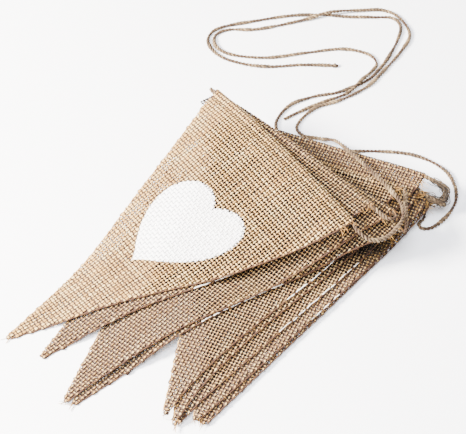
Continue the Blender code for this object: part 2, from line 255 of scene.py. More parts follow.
def attribute(tree, word):
    """One of the values that the threads' points carry."""
    return add_node(tree, "ShaderNodeAttribute", {"attribute_name": word}).outputs["Fac"]


def calculate(tree, operation, *inputs):
    """The result of a maths node whose inputs are sockets or numbers."""
    node = add_node(tree, "ShaderNodeMath", {"operation": operation})
    for socket, value in zip(node.inputs, inputs):
        if isinstance(value, (int, float)):
            socket.default_value = value
        else:
            tree.links.new(value, socket)
    return node.outputs["Value"]


def map_range(tree, value, start, end, to_start, to_end):
    """The value, with start to end laid in a straight line on to_start to to_end."""
    settings = {"From Min": start, "From Max": end, "To Min": to_start, "To Max": to_end}
    return add_node(tree, "ShaderNodeMapRange", settings, [("Value", value)]).outputs["Result"]


def turned_to(tree, colour, code, share):
    """The colour turned by a share towards that of a hex code."""
    settings = {"data_type": "RGBA", 7: linear(code)}
    return add_node(tree, "ShaderNodeMix", settings, [(0, share), (6, colour)]).outputs[2]


def noise(tree, place, settings):
    """A noise texture's value at a place."""
    return add_node(tree, "ShaderNodeTexNoise", settings, [("Vector", place)]).outputs["Fac"]


def colour_ramp(tree, value, stops):
    """The value's colour between (place, hex code) stops."""
    ramp = add_node(tree, "ShaderNodeValToRGB", {}, [("Fac", value)])
    while len(ramp.color_ramp.elements) < len(stops):
        ramp.color_ramp.elements.new(0.5)
    for element, (place, code) in zip(ramp.color_ramp.elements, stops):
        element.position = place
        element.color = linear(code)
    return ramp.outputs["Color"]


def finish_surface(tree, colour, height, strength, distance):
    """Joins the colour to the shader, with a bump from the height, over a distance in metres."""
    settings = {"Strength": strength, "Distance": distance}
    relief = add_node(tree, "ShaderNodeBump", settings, [("Height", height)])
    shader = tree.nodes["Principled BSDF"]
    tree.links.new(colour, shader.inputs["Base Color"])
    tree.links.new(relief.outputs["Normal"], shader.inputs["Normal"])


BURLAP_STOPS = [(0.10, "#42250f"), (0.36, "#8b6027"), (0.58, "#d2a050"), (0.85, "#fde09c")]
TWINE_STOPS = [(0.10, "#120b06"), (0.40, "#352717"), (0.65, "#655036"), (0.9, "#a98f66")]
PAINT_STOPS = [(0.3, "#b4aea9"), (0.65, "#e6e3e1")]
# The threads' map is in mm, so a streak of fibres is as long and as wide as this in mm.
STREAK_LONG, STREAK_WIDE = 2.0, 0.3125
# These patterns lie on object coordinates, in metres: 420 waves are 2.4 mm each, about a
# thread's pitch, and 650 are 1.5 mm each, the lumps of dried paint between threads.
CREEP_WAVES, LUMP_WAVES = 420.0, 650.0


def jute_colour(tree, stops, streak):
    """Spun jute: streaks of fibres along each thread, and threads of different tone.

    The threads' own map is in mm, along and around. Returns the colour and streak sockets.
    """
    lay = add_node(tree, "ShaderNodeUVMap", {"uv_map": "along_thread"}).outputs["UV"]
    settings = {"Scale": (1 / STREAK_LONG, 1 / STREAK_WIDE, 1.0)}
    streaks = add_node(tree, "ShaderNodeMapping", settings, [("Vector", lay)]).outputs["Vector"]
    fibres = noise(tree, streaks, {"Scale": 1.0, "Detail": 3.0, "Roughness": 0.65})
    mixed = calculate(tree, "MULTIPLY_ADD", fibres, streak, attribute(tree, "tone"))
    return colour_ramp(tree, mixed, stops), fibres


def heart_mask(tree, flag):
    """1 inside the stencilled heart and 0 outside, from where a point lies over the flag."""
    place = add_node(tree, "ShaderNodeTexCoord", {}).outputs["Object"]
    right, up = flag.right / (HEART_HALF_WIDE * MM), flag.up / (HEART_HALF_HIGH * MM)
    middle = flag.point + flag.up * (HEART_MIDDLE[1] * MM) + flag.right * (HEART_MIDDLE[0] * MM)
    along = []
    for axis in (right - HEART_LEAN * up, up - HEART_TURN * right):
        settings = {"operation": "DOT_PRODUCT", 1: (*axis, 0.0)}
        dot = add_node(tree, "ShaderNodeVectorMath", settings, [(0, place)]).outputs["Value"]
        along.append(calculate(tree, "ADD", dot, -float(axis @ middle)))
    across = calculate(tree, "ABSOLUTE", along[0])
    lobe = calculate(tree, "POWER", across, LOBE_POWER)
    lifted = calculate(tree, "MULTIPLY_ADD", lobe, -LOBES, along[1])
    both = add_node(tree, "ShaderNodeCombineXYZ", {}, [("X", across), ("Y", lifted)]).outputs[0]
    reach = add_node(tree, "ShaderNodeVectorMath", {"operation": "LENGTH"}, [(0, both)])
    # The paint creeps a fraction of a thread past the stencil, here more and there less.
    creep = noise(tree, place, {"Scale": CREEP_WAVES, "Detail": 1.0})
    edge = calculate(tree, "MULTIPLY_ADD", creep, 0.05, reach.outputs["Value"])
    return map_range(tree, edge, 1.035, 1.015, 0.0, 1.0)


def darkened(tree, colour, low, high):
    """The colour turned dark by painted shade where the attribute "rise" falls from high to low."""
    sunk = map_range(tree, attribute(tree, "rise"), low, high, 0.99, 0.0)
    return turned_to(tree, colour, "#351a07", sunk)


def make_burlap(name, painted_on=None):
    """Burlap: coarse plain weave of unbleached jute. It gives a matt tan cloth with open holes."""
    material, tree = new_material(name, {"Roughness": 0.92, "Sheen Weight": 0.05})
    colour, fibres = jute_colour(tree, BURLAP_STOPS, 0.55)
    # Painted highlight on some cut edges: a broken white line, where the cut ends catch the light.
    colour = turned_to(tree, colour, "#f3ece0", attribute(tree, "pale"))
    # Painted shade: a thread darkens down its sides and where it dives under the next one.
    colour = darkened(tree, colour, 0.36, 1.0)
    # Hardly any light gets through the flag above to the cloth that it covers.
    covered = map_range(tree, attribute(tree, "shade"), 0.85, 1.0, 0.0, 0.9)
    colour = turned_to(tree, colour, "#1c0e06", covered)
    if painted_on:
        # The paint is on all of a thread but its underside.
        upper = calculate(tree, "GREATER_THAN", attribute(tree, "crown"), -0.5)
        painted = calculate(tree, "MULTIPLY", upper, heart_mask(tree, painted_on))
        colour = turned_to(tree, colour, "#f6f5f3", painted)
    finish_surface(tree, colour, fibres, 0.6, 0.12 * MM)
    return material


def make_jute_twine(name):
    """Jute twine: two plies spun and twisted, hairy. It gives a matt grey-brown with dark grooves."""
    material, tree = new_material(name, {"Roughness": 0.9, "Sheen Weight": 0.03})
    colour, fibres = jute_colour(tree, TWINE_STOPS, 0.6)
    # Painted shade: each ply darkens towards the twine's middle, in the grooves between the plies.
    colour = darkened(tree, colour, 0.15, 0.95)
    finish_surface(tree, colour, fibres, 0.8, 0.2 * MM)
    return material


def make_fabric_paint(name):
    """Fabric paint, stencilled on and dried. It gives a chalky white skin between the threads."""
    material, tree = new_material(name, {"Roughness": 0.7})
    place = add_node(tree, "ShaderNodeTexCoord", {}).outputs["Object"]
    lumps = noise(tree, place, {"Scale": LUMP_WAVES, "Detail": 2.0})
    colour = colour_ramp(tree, lumps, PAINT_STOPS)
    finish_surface(tree, colour, lumps, 0.6, 0.3 * MM)
    return material


# === Tubes: every thread, ply and fibre ===


def new_object(name, mesh, material):
    """An object in the scene, smooth and all of one material."""
    mesh.materials.append(material)
    mesh.shade_smooth()
    piece = bpy.data.objects.new(name, mesh)
    bpy.context.scene.collection.objects.link(piece)
    return piece


class Tubes:
    """Closed tubes gathered into one mesh, with a map in mm along and around each.

    Their points carry: tone, from dark to light; crown, 1 on top of a thread and -1 beneath;
    pale, 1 on a painted highlight; rise, 1 clear of painted shade; shade, 1 where other flags cover them.
    """

    def __init__(self):
        self.points, self.faces, self.map, self.count = [], [], [], 0
        self.carried = {"tone": [], "crown": [], "pale": [], "rise": [], "shade": []}

    def add(self, rings, along, wide, tone, crown, pale=0.0, rise=1.0, shade=0.0):
        """rings: stations x corners x 3, corners counterclockwise round the way it runs."""
        stations, corners = rings.shape[:2]
        index = self.count + np.arange(stations * corners).reshape(stations, corners)
        following = np.roll(index, -1, axis=1)
        quads = np.stack([index[:-1], following[:-1], following[1:], index[1:]], axis=-1)
        self.points.append(rings.reshape(-1, 3))
        self.faces.extend(quads.reshape(-1, 4).tolist())
        self.faces.extend([index[0, ::-1].tolist(), index[-1].tolist()])
        self.count += stations * corners
        along, around = along / MM, np.arange(corners + 1) / corners * wide / MM
        way, turn = np.meshgrid(along, around, indexing="ij")
        start, end, near, far = way[:-1, 1:], way[1:, 1:], turn[1:, :-1], turn[1:, 1:]
        corner_map = np.stack([start, near, start, far, end, far, end, near], axis=-1)
        self.map.append(corner_map.reshape(-1, 2))
        for cap in (0, -1):
            self.map.append(np.tile([along[cap], 0.0], (corners, 1)))
        tone, pale, shade = (np.reshape(value, (-1, 1)) for value in (tone, pale, shade))
        for carried, value in zip(self.carried.values(), (tone, crown, pale, rise, shade)):
            carried.append(np.broadcast_to(value, (stations, corners)).ravel())

    def make(self, name, material):
        mesh = bpy.data.meshes.new(name)
        mesh.from_pydata(np.concatenate(self.points).tolist(), [], self.faces)
        layer = mesh.uv_layers.new(name="along_thread")
        layer.data.foreach_set("uv", np.concatenate(self.map).astype(np.float32).ravel())
        for word, values in self.carried.items():
            layer = mesh.attributes.new(word, "FLOAT", "POINT")
            layer.data.foreach_set("value", np.concatenate(values).astype(np.float32))
        return new_object(name, mesh, material)


def slow_noise(chance, t, wave):
    """A smooth wander along t, about -1 to 1, that changes over about that wavelength."""
    total = 0 * t
    for share, stretch in ((0.6, 1.0), (0.4, 0.43)):
        length = wave * stretch * chance.uniform(0.8, 1.25)
        total = total + share * np.sin(2 * math.pi * t / length + chance.uniform(0, 6.3))
    return total


def unit(vector):
    return vector / np.linalg.norm(vector)


def lengths_along(path):
    """How far along a path each of its points lies."""
    return np.concatenate([[0], np.cumsum(np.linalg.norm(np.diff(path, axis=0), axis=1))])


def smooth_route(points, steps):
    """A smooth curve through the points, with that many steps from each to the next."""
    points = np.asarray(points, float)
    padded = np.vstack([2 * points[0] - points[1], points, 2 * points[-1] - points[-2]])
    t = np.arange(steps)[:, None] / steps
    out = []
    for k in range(1, len(padded) - 2):
        before, start, end, after = padded[k - 1 : k + 3]
        bend = 2 * before - 5 * start + 4 * end - after
        turn = 3 * start - before - 3 * end + after
        out.append(0.5 * (2 * start + (end - before) * t + bend * t**2 + turn * t**3))
    return np.vstack([*out, points[-1]])


def even_path(path, step):
    """The same path with points an even step apart, and how far along it each lies."""
    reached = lengths_along(path)
    wanted = np.linspace(0, reached[-1], max(int(round(reached[-1] / step)), 2) + 1)
    return np.stack([np.interp(wanted, reached, path[:, k]) for k in range(3)], axis=-1), wanted


def axes_along(path):
    """At each point of a path two directions square to it, which turn no more than they must."""
    way = np.gradient(path, axis=0)
    way /= np.linalg.norm(way, axis=1)[:, None]
    side = np.cross(way[0], (0.0, 0.0, 1.0))
    if np.linalg.norm(side) < 0.1:
        side = np.cross(way[0], (1.0, 0.0, 0.0))
    sides = []
    for direction in way:
        side = unit(side - direction * (side @ direction))
        sides.append(side)
    sides = np.array(sides)
    return sides, np.cross(way, sides)


def round_tube(tubes, path, radius, corners, tone, along=None, pale=0.0, axis=None):
    """A round tube of that radius, one number or one for each point, along a path.

    With an axis, which is that of the whole twine, the tube darkens towards it as painted shade.
    """
    side, over = axes_along(path)
    angle = (2 * math.pi * np.arange(corners) / corners)[:, None]
    radius = np.broadcast_to(radius, len(path))[:, None, None]
    rings = path[:, None] + radius * (side[:, None] * np.cos(angle) + over[:, None] * np.sin(angle))
    if along is None:
        along = lengths_along(path)
    rise = 1.0
    if axis is not None:
        reach = np.linalg.norm(rings - axis[:, None], axis=2)
        rise = (reach - PLY_OUT) / PLY_HALF
    wide = 2 * math.pi * float(radius.mean())
    tubes.add(rings, along, wide, tone, np.ones(corners), pale, rise)


def over_surface(path, least):
    """The path, lifted to at least that height wherever it is lower."""
    path[:, 2] = np.maximum(path[:, 2], least)
    return path


# === Twine ===


def tie_knot(tubes, path, side, over):
    """A small knot at the path's far end: turns of twine round it."""
    at = len(path) - 4
    way = unit(path[at] - path[at - 1])
    tie = np.linspace(0, 2 * math.pi * KNOT_TURNS, 26)[:, None]
    loop = (
        path[at]
        + side[at] * KNOT_SIDE * np.cos(tie)
        + over[at] * KNOT_UP * np.sin(tie)
        + way * np.linspace(-KNOT_LONG, KNOT_LONG, len(tie))[:, None]
    )
    round_tube(tubes, over_surface(loop, 0.75 * MM), KNOT_HALF, 8, 0.12)


def stray_hair(tubes, chance, start, along, side, over):
    """A loose fibre that stands off the twine, which runs along from start."""
    around, lean = chance.uniform(0, 6.3), chance.choice([-1, 1])
    out = side * math.cos(around) + over * math.sin(around)
    sideways = unit(np.cross(along, out))
    length = chance.uniform(1.0, 3.0) * MM
    lift = chance.uniform(0.25, 0.95)
    t = FIBRE_PLACES[:, None]
    hair = (
        start
        + out * (0.8 * MM + min(length * lift, 1.5 * MM) * t**1.3)
        + unit(along) * lean * length * math.sqrt(1 - lift**2) * t
        + sideways * length * chance.uniform(-0.35, 0.35) * t**2
    )
    tone = 0.35 + chance.uniform(-0.1, 0.25)
    round_tube(tubes, over_surface(hair, 0.1 * MM), HAIR_HALF, 3, tone)


def twisted_twine(name, path, chance, material, hairs_each_mm, knot=False):
    """Two plies twisted round each other along a path, with loose fibres that stand off it."""
    path, along = even_path(path, TWIST / TWIST_STEPS)
    side, over = axes_along(path)
    tubes = Tubes()
    turn = 2 * math.pi * along / TWIST + 0.5 * slow_noise(chance, along, 60 * MM)
    swell = TWINE_SWELL * slow_noise(chance, along, 45 * MM)
    for ply in (0, math.pi):
        out = side * np.cos(turn + ply)[:, None] + over * np.sin(turn + ply)[:, None]
        middle = path + PLY_OUT * (1 + swell)[:, None] * out
        half = PLY_HALF * (1 + PLY_UNEVEN * slow_noise(chance, along, 17 * MM) + swell)
        half[[0, -1]] *= 0.6
        tone = TWINE_TONE + TWINE_DRIFT * slow_noise(chance, along, 30 * MM) + chance.normal(0, 0.05)
        round_tube(tubes, over_surface(middle, half * 0.95), half, 6, tone, along, axis=path)
    if knot:
        tie_knot(tubes, path, side, over)
    for _ in range(int(along[-1] / MM * hairs_each_mm)):
        at = chance.integers(2, len(path) - 3)
        stray_hair(tubes, chance, path[at], path[at + 1] - path[at], side[at], over[at])
    return tubes.make(name, material), path


def tail_path(route):
    """A free end of the twine, from its route in mm."""
    lowest = TWINE / 2 / MM
    places = np.array([(*place, lowest)[:3] for place in route]) - (*CENTRE, 0)
    return over_surface(smooth_route(places * MM, 24), TWINE / 2)


def loose_end(name, node, route, chance, material, far_end):
    """One of the twine's loose ends, from the channel that it leaves."""
    path = tail_path(route)
    piece, middle = twisted_twine(name, path, chance, material, END_HAIRS, knot=far_end == "knot")
    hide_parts(node)
    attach(piece, "root")


def link_twine(low_end, low_out, high_end, high_out, run, radius, sag):
    """The loop of twine from the end of a lower channel to that of the one above it."""
    across = high_end - low_end
    out = unit(low_out + high_out)
    # Channels that end far apart are joined square to the line between their ends.
    if np.linalg.norm(across - out * (across @ out)) > 4 * radius:
        square = unit(np.array([-across[1], across[0], 0.0]))
        out = square if square @ out > 0 else -square
    furthest = max(low_end @ out, high_end @ out)
    reach = furthest + run
    low_join = low_end + out * (reach - low_end @ out)
    high_join = high_end + out * (reach - high_end @ out)
    high_join[2] = min(high_end[2], low_end[2] + CHANNEL_HIGH + CLOTH / 2 + GAP + TWINE / 2)
    side = high_join - low_join
    spread = np.linalg.norm(side)
    side = side / spread
    stretch = max(spread / 2 - radius, 0)
    widest = 180 - math.degrees(math.asin(min(spread / 2 / radius, 1)))
    centre = (low_join + high_join) / 2 - out * radius * math.cos(math.radians(widest))
    turns = [-widest, -widest / 2, 0, widest / 2, widest]
    if stretch > radius:
        turns.remove(0)
    places = []
    for angle in turns:
        turn = math.radians(angle)
        shift = side * math.copysign(stretch, angle) if angle else 0
        place = centre + radius * (out * math.cos(turn) + side * math.sin(turn)) + shift
        place[2] -= sag * np.clip((place @ out - furthest) / (run + radius), 0, 1) ** 2
        places.append(place)
    first = low_end + low_out * 0.5 * LINK_OUT
    last = high_end + high_out * 0.5 * LINK_OUT
    return smooth_route([first, *places, last], 6)


def ravelled_turn(link, chance, material):
    """The fibres that have come loose from the slack turn: a hairy bunch along it."""
    tubes = Tubes()
    path, _ = even_path(smooth_route(np.array(link), 4), 0.8 * MM)
    for count in range(RAVELLED):
        first = chance.integers(0, len(path) * 2 // 3)
        last = first + chance.integers(len(path) // 6, len(path) // 3)
        t = np.linspace(0, 1, 9)[:, None]
        along = path[np.linspace(first, last, 9).astype(int)]
        straight = path[first] + (path[last] - path[first]) * t
        part = along if count % 2 else (along + 2 * straight) / 3
        aside = chance.normal(0, 1, 3) * RAVEL_WIDE
        part = part + aside * (0.35 + np.sin(math.pi * t)) + chance.normal(0, 0.8, 3) * MM * t**2
        half, tone = chance.uniform(0.16, 0.4) * MM, chance.uniform(-0.2, 0.35)
        round_tube(tubes, over_surface(part, 0.3 * MM), half, 3, tone)
    piece = tubes.make("jute_fibres_at_slack_turn", material)
    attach(piece, "root")


def held_twine(cloths, chance, material):
    """The twine through all ten channels, from the bottom flag to the top one."""
    held, lower = [], None
    for count, cloth in enumerate(reversed(cloths)):
        flag = cloth.flag
        u = np.linspace(-flag.width / 2, flag.width / 2, 15)
        fold = np.full(len(u), cloth.fold)
        z = cloth.front_z(u, fold) - CHANNEL_HIGH
        inside = np.stack([*flag.to_world(u, fold), z], axis=-1)
        right = np.array([*flag.right, 0.0])
        leftwards = count % 2 == 0
        run = inside[::-1] if leftwards else inside
        out = -right if leftwards else right
        shape = (LINK_OUT, LINK_RADIUS, 0.0) if leftwards else (LEFT_OUT, LEFT_RADIUS, 0.0)
        if flag.name == SLACK_UNDER:
            shape = (SLACK_OUT, LINK_RADIUS, SLACK_SAG)
        if lower is not None:
            link = link_twine(*lower, run[0], -out, *shape)
            held.extend(link)
            if flag.name == SLACK_UNDER:
                ravelled_turn(link, chance, material)
        held.extend(run)
        lower = (run[-1], out)
    piece, _ = twisted_twine("jute_twine_in_channels", np.array(held), chance, material, HELD_HAIRS)
    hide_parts("twine_in_channels")
    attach(piece, "root")


# === Flags ===


class Flag:
    """One flag's own frame: u runs across it to the right, v from its point to its fold."""

    def __init__(self, row):
        named = dict(zip(COLUMNS, row))
        self.name = named["name"]
        self.point = (np.array([named["point_x"], named["point_y"]]) - CENTRE) * MM
        self.width = named["width"] * MM
        self.height = named["height"] * MM
        self.left_side = named["left_near"] * MM, named["left_far"] * MM
        self.right_side = named["right_near"] * MM, named["right_far"] * MM
        turn = math.radians(named["turn"])
        self.up = np.array([math.cos(turn), math.sin(turn)])
        self.right = np.array([math.sin(turn), -math.cos(turn)])

    def to_world(self, u, v):
        return tuple(self.point[k] + v * self.up[k] + u * self.right[k] for k in (0, 1))

    def front_sides(self, v):
        """Left and right edge of the front at v: slanted, with the right end cut square."""
        sides = []
        ends = self.height, self.height - SQUARE_CUT
        for (near, far), end in zip((self.left_side, self.right_side), ends):
            share = np.clip(v / end, 0, 1)
            straight = TIP / 2 + (self.width - TIP) / 2 * share
            # Scaled so that the side stands out by near at a third and by far at two thirds.
            bow = near * (2 / 3 - share) + far * (share - 1 / 3)
            sides.append(straight + bow * 13.5 * share * (1 - share))
        return -sides[0], sides[1]

    def flap_sides(self, v):
        return -self.width / 2 + 0 * v, self.width / 2 + 0 * v


def soften(values, times):
    """A map of the cloth with its steps rounded off, along it and across it."""
    for _ in range(2 * times):
        padded = np.pad(values, ((1, 1), (0, 0)), "edge")
        values = (values / 2 + (padded[:-2] + padded[2:]) / 4).T
    return values


class Cloth:
    """A flag's cloth as it lies, with its heights read off its CAD solid.

    s runs along the cloth from the point to the fold, round the twine and down the flap.
    """

    def __init__(self, flag, solid, above):
        self.flag = flag
        self.fold = flag.height - CHANNEL_DEEP
        self.long = self.fold + FOLD_ARC + FLAP - CHANNEL_DEEP
        corners = [v.co for v in solid.data.vertices]
        self.tree = BVHTree.FromPolygons(corners, [p.vertices[:] for p in solid.data.polygons])
        self.front_grid = np.linspace(0, self.fold, ROWS_READ), flag.front_sides
        self.flap_grid = np.linspace(flag.height - FLAP, self.fold, FLAP_ROWS_READ), flag.flap_sides
        self.front = soften(self.read(*self.front_grid, -1), 3)
        self.flap = soften(self.read(*self.flap_grid, 1), 1)
        self.shade = soften(self.read_cover(above, (0, 0, 1), 1), 3)

    def read(self, rows, sides, way):
        """Heights of the cloth's middle: from above (way -1) or from below (way 1)."""
        found = np.zeros((len(rows), SHARES + 1))
        for row, v in enumerate(rows):
            left, right = sides(v)
            for column in range(SHARES + 1):
                for inset in INSETS:
                    share = 0.5 + (column / SHARES - 0.5) * inset
                    x, y = self.flag.to_world(left + (right - left) * share, max(v, LEAST_ROW))
                    start = Vector((x, y, 0.1 if way < 0 else -0.01))
                    hit, normal, _, _ = self.tree.ray_cast(start, Vector((0, 0, way)))
                    if hit:
                        break
                found[row, column] = hit.z + way * CLOTH / 2 / max(abs(normal.z), 0.5)
        return found

    def read_cover(self, trees, way, least):
        """1 where a ray that way from the front meets at least so many other flags, else 0."""
        found = np.zeros_like(self.front)
        rows, sides = self.front_grid
        for row, v in enumerate(rows):
            left, right = sides(v)
            for column in range(SHARES + 1):
                x, y = self.flag.to_world(left + (right - left) * column / SHARES, v)
                start = Vector((x, y, self.front[row, column])) + CLOTH * Vector(way)
                met = sum(tree.ray_cast(start, Vector(way))[0] is not None for tree in trees)
                found[row, column] = met >= least
        return found

    def look_up(self, heights, rows, sides, u, v):
        v = np.clip(v, rows[0], rows[-1])
        left, right = sides(v)
        across = np.clip((u - left) / (right - left), 0, 1) * SHARES
        down = (v - rows[0]) / (rows[1] - rows[0])
        column = np.minimum(across.astype(int), SHARES - 1)
        row = np.minimum(down.astype(int), len(rows) - 2)
        across, down = across - column, down - row
        near = heights[row, column] * (1 - across) + heights[row, column + 1] * across
        far = heights[row + 1, column] * (1 - across) + heights[row + 1, column + 1] * across
        return near * (1 - down) + far * down

    def front_z(self, u, v):
        dip = CREASE * np.exp(-(((self.fold - CREASE_PLACE - v) / CREASE_WIDE) ** 2))
        return self.look_up(self.front, *self.front_grid, u, v) - dip

    def flap_z(self, u, v):
        return self.look_up(self.flap, *self.flap_grid, u, v)

    def map_at(self, values, u, s, behind):
        """One of the front's maps at (u, s), with the value for the back of the fold."""
        found = self.look_up(values, *self.front_grid, u, s)
        return np.where(s < self.fold + FOLD_ARC / 3, found, behind)

    def place(self, u, s, n):
        """The world places of points (u, s) of the cloth that stand n off its middle."""
        u, s, n = np.broadcast_arrays(u, s, n)
        turn = np.clip((s - self.fold) / FOLD_ARC, 0, 1) * math.pi
        on_front, on_flap = s <= self.fold, s >= self.fold + FOLD_ARC
        round_it = self.fold + (CHANNEL_DEEP + n) * np.sin(turn)
        v = np.where(on_front, s, np.where(on_flap, 2 * self.fold + FOLD_ARC - s, round_it))
        at_fold = self.front_z(u, np.full(u.shape, self.fold))
        in_fold = at_fold - CHANNEL_HIGH + (CHANNEL_HIGH + n) * np.cos(turn)
        behind = np.where(on_flap, self.flap_z(u, v) - n, in_fold)
        z = np.where(on_front, self.front_z(u, v) + n, behind)
        x, y = self.flag.to_world(u, v)
        return np.stack([x, y, np.maximum(z, 0.03 * MM)], axis=-1)


def stations(chance, start, end, crossings, signs, split, pitch):
    """Where a thread has its points: (places, rises), with its cut ends past start and end.

    It has one point at each crossing, or two where split is true, for a rounder wave.
    """
    places, rises = [], []
    for t, sign, two in zip(crossings, signs, split):
        for step in (-0.25, 0.25) if two else (0.0,):
            places.append(t + step * pitch)
            rises.append(sign * THREAD_RISE * (0.94 if two else 1.0))
    ends = []
    for _ in range(2):
        trimmed, ragged = chance.uniform(-0.5, 0.05), chance.uniform(0.1, 0.9)
        ends.append(chance.choice([trimmed, ragged], p=[TRIMMED, 1 - TRIMMED]) * MM)
    places, rises = np.array(places), np.array(rises)
    first, last = start - ends[0], end + ends[1]
    keep = (places > first + 0.25 * MM) & (places < last - 0.25 * MM)
    places, rises = places[keep], rises[keep]
    if not len(places):
        places, rises = np.array([(start + end) / 2]), np.array([0.0])
    places = np.concatenate([[first], places, [last]])
    rises = np.concatenate([[rises[0] * 0.2], rises, [rises[-1] * 0.2]])
    return places, rises


def slubs(chance, t):
    """Thick places in a thread, about one in 100 mm."""
    swell = 0 * t
    for _ in range(chance.poisson((t[-1] - t[0]) / (100 * MM))):
        middle, long = chance.uniform(t[0], t[-1]), chance.uniform(2, 7) * MM
        swell = swell + chance.uniform(0.2, 0.6) * np.exp(-(((t - middle) / long) ** 2))
    return swell


def weave_thread(cloth, tubes, chance, corners, line, runs_up, t, n):
    """One thread on its line, with points at t along it that stand n off the cloth's middle."""
    wander = THREAD_WANDER * slow_noise(chance, t, 40 * MM)
    wander[[0, -1]] += chance.normal(0, 0.25, 2) * MM
    uneven = 1 + chance.normal(0, THREAD_UNEVEN) + THREAD_UNEVEN * slow_noise(chance, t, 22 * MM)
    half = (UP_HALF_WIDE if runs_up else ACROSS_HALF_WIDE) * (uneven + slubs(chance, t))
    flat = line + 0 * t
    u_of, s_of = (flat, t) if runs_up else (t, flat)
    left, right = cloth.flag.front_sides(s_of)
    inside = np.maximum(np.minimum(u_of - left, right - u_of), 0)
    half = half * (1 + EDGE_WIDER * np.exp(-((inside / EDGE_PRESSED) ** 2)))
    bare = cloth.map_at(cloth.bare, u_of, s_of, 0.0)
    half = half * (1 + TABLE_WIDER * bare)
    half[[0, -1]] *= 0.5
    thick = THREAD_HALF_THICK * np.ones(len(t))
    thick[[0, -1]] *= 0.7
    tone = cloth.tone + chance.normal(0, TONE_SPREAD) + TONE_DRIFT * slow_noise(chance, t, 50 * MM)
    angle = 2 * math.pi * np.arange(corners) / corners
    cosine, sine = np.cos(angle), np.sin(angle)
    lateral = (line + wander)[:, None]
    off = n[:, None] + thick[:, None] * sine
    if runs_up:
        u, s = lateral - half[:, None] * cosine, t[:, None]
    else:
        u, s = t[:, None], lateral + half[:, None] * cosine
    rings = cloth.place(u, s, off)
    shade = cloth.map_at(cloth.shade, u_of, s_of, 1.0)
    # How far each point stands clear of the painted shade, which darkens the threads' sides and dips.
    rise = off / UNSHADED_HEIGHT - TABLE_DARKER * bare[:, None] * (1 - np.maximum(sine, 0))
    tubes.add(rings, t + chance.uniform(0, 1), THREAD_GIRTH, tone, sine, 0.0, rise, shade)


def weave(cloth, chance, fine, corners):
    """All of a flag's threads: those that run up it, and those across."""
    flag = cloth.flag
    tubes = Tubes()
    up_count = int(flag.width / UP_PITCH)
    up_lines = (np.arange(up_count) - (up_count - 1) / 2) * UP_PITCH
    across_lines = np.arange(0.6 * ACROSS_PITCH, cloth.long, ACROSS_PITCH)
    up_lines = up_lines + chance.normal(0, THREAD_STRAY, len(up_lines))
    across_lines = across_lines + chance.normal(0, THREAD_STRAY, len(across_lines))
    past_fold = across_lines - cloth.fold
    in_fold = (past_fold > -ACROSS_PITCH) & (past_fold < FOLD_ARC + ACROSS_PITCH)
    dense = np.linspace(0, flag.height, 500)
    left, right = flag.front_sides(dense)
    for number, u in enumerate(up_lines):
        reached = np.nonzero((-left if u < 0 else right) >= abs(u))[0]
        if not len(reached):
            continue
        span = dense[reached[0]], cloth.long
        signs = np.where((np.arange(len(across_lines)) + number) % 2, 1, -1)
        t, n = stations(chance, *span, across_lines, signs, in_fold | fine, ACROSS_PITCH)
        weave_thread(cloth, tubes, chance, corners, u, True, t, n)
    for number, s in enumerate(across_lines):
        span = flag.front_sides(s) if s <= cloth.fold else flag.flap_sides(s)
        signs = np.where((np.arange(len(up_lines)) + number) % 2, -1, 1)
        t, n = stations(chance, *span, up_lines, signs, np.full(len(up_lines), fine), UP_PITCH)
        weave_thread(cloth, tubes, chance, corners, s, False, t, n)
    return tubes


def loose_fibre(cloth, tubes, chance, u, s, heading, lengths, halves):
    """One fibre or thread that has come loose, from (u, s) in a bent line over the cloth.

    Its length and half thickness lie between the two numbers, in mm.
    """
    long, half = chance.uniform(*lengths) * MM, chance.uniform(*halves) * MM
    t = FIBRE_PLACES
    way = heading + chance.uniform(-0.8, 0.8) * t
    n = chance.uniform(-0.3, 0.4) * MM - 0.2 * MM * t
    path = cloth.place(u + long * t * np.cos(way), s + long * t * np.sin(way), n)
    tone = cloth.tone + chance.uniform(-0.46, -0.12)
    round_tube(tubes, over_surface(path, 0.12 * MM), half * FIBRE_THIN, 3, tone)


def fray(cloth, tubes, chance):
    """Loose fibres along both cut sides, and longer threads at the point and the right end."""
    flag = cloth.flag
    for _ in range(FRAYED):
        s = chance.uniform(0.01, 0.98) * flag.height
        side = chance.choice([-1, 1])
        u = flag.front_sides(s)[(side + 1) // 2] - side * 0.8 * MM
        heading = chance.uniform(-1.1, 0.5)
        if side < 0:
            heading = math.pi - heading
        loose_fibre(cloth, tubes, chance, u, s, heading, (1.0, 2.6), (0.05, 0.1))
    for _ in range(POINT_THREADS):
        u, s = chance.uniform(-1.2, 1.2) * MM, chance.uniform(0, 5) * MM
        heading = -math.pi / 2 + chance.uniform(-0.6, 0.6)
        loose_fibre(cloth, tubes, chance, u, s, heading, (2.5, 6), (0.14, 0.3))
    for _ in range(END_THREADS):
        u, s = flag.width / 2 - 0.5 * MM, cloth.fold + chance.uniform(-10, 3) * MM
        heading = chance.uniform(-1.2, 0.5)
        loose_fibre(cloth, tubes, chance, u, s, heading, (2, 8), (0.1, 0.24))


def painted_highlight_line(cloth, tubes, chance, low, high):
    """A painted highlight along the right side, in thin white lengths with gaps between."""
    s, high = low * MM, high * MM
    while s < high:
        t = np.linspace(s, min(s + chance.uniform(3, 12) * MM, high), 7)
        inset = chance.uniform(-0.2, 0.5) * MM
        u = cloth.flag.front_sides(t)[1] - inset + chance.normal(0, 0.15, len(t)) * MM
        half = chance.uniform(0.18, 0.46) * MM * chance.uniform(0.5, 1.3, len(t))
        half[[0, -1]] *= 0.4
        round_tube(tubes, cloth.place(u, t, 0.3 * MM), half, 5, 0.6, pale=1.0)
        s = t[-1] + chance.uniform(0.3, 3.5) * MM


